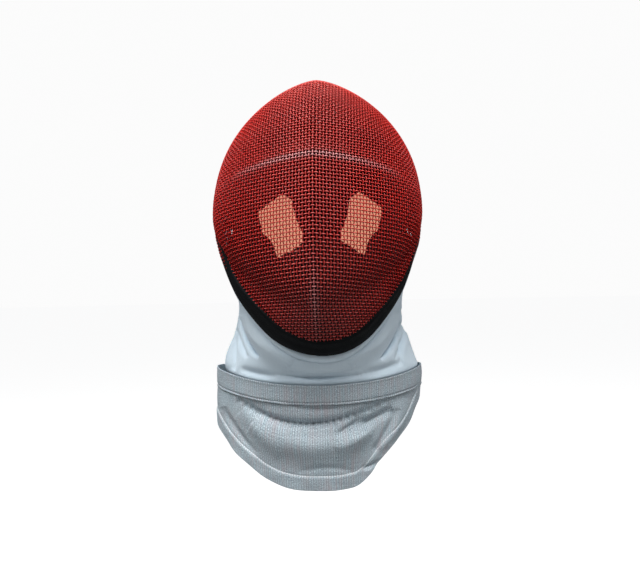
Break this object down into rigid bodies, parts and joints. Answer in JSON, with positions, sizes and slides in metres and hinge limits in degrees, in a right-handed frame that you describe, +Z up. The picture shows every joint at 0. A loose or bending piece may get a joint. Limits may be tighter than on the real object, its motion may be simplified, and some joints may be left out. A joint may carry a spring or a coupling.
{
  "type": "foil fencing mask",
  "caption": "Woven steel fencing mask with a central keel, edge trim, inner padding, sprung rear tongue, cloth bib and conductive lame panel.",
  "frame": {"origin": "where the crown of the wearer's head touches the underside of the crown pad", "axes": "+Z up, the face looks along -Y, +X to the wearer's left"},
  "size_m": [0.2002, 0.225, 0.3893],
  "materials": {
    "enamelled_mesh": "red enamel on woven steel wire, glossy, worn pinkish on the crossings",
    "black_trim": "black bound edge tape with a dull leather sheen",
    "black_padding": "matt black padded lining cloth",
    "white_cloth": "close woven white cotton cloth",
    "silver_lame": "silver grey conductive lame with a fine thread and a soft metal sheen"
  },
  "bodies": {
    "root": {"front_mesh": "enamelled_mesh", "back_mesh": "enamelled_mesh", "edge_trim": "black_trim", "crown_pad": "black_padding", "side_wing_right": "black_padding", "side_wing_left": "black_padding", "tongue": "black_padding", "head_pad": "black_padding", "bib": "white_cloth", "bib_lame": "silver_lame"}
  },
  "joints": []
}
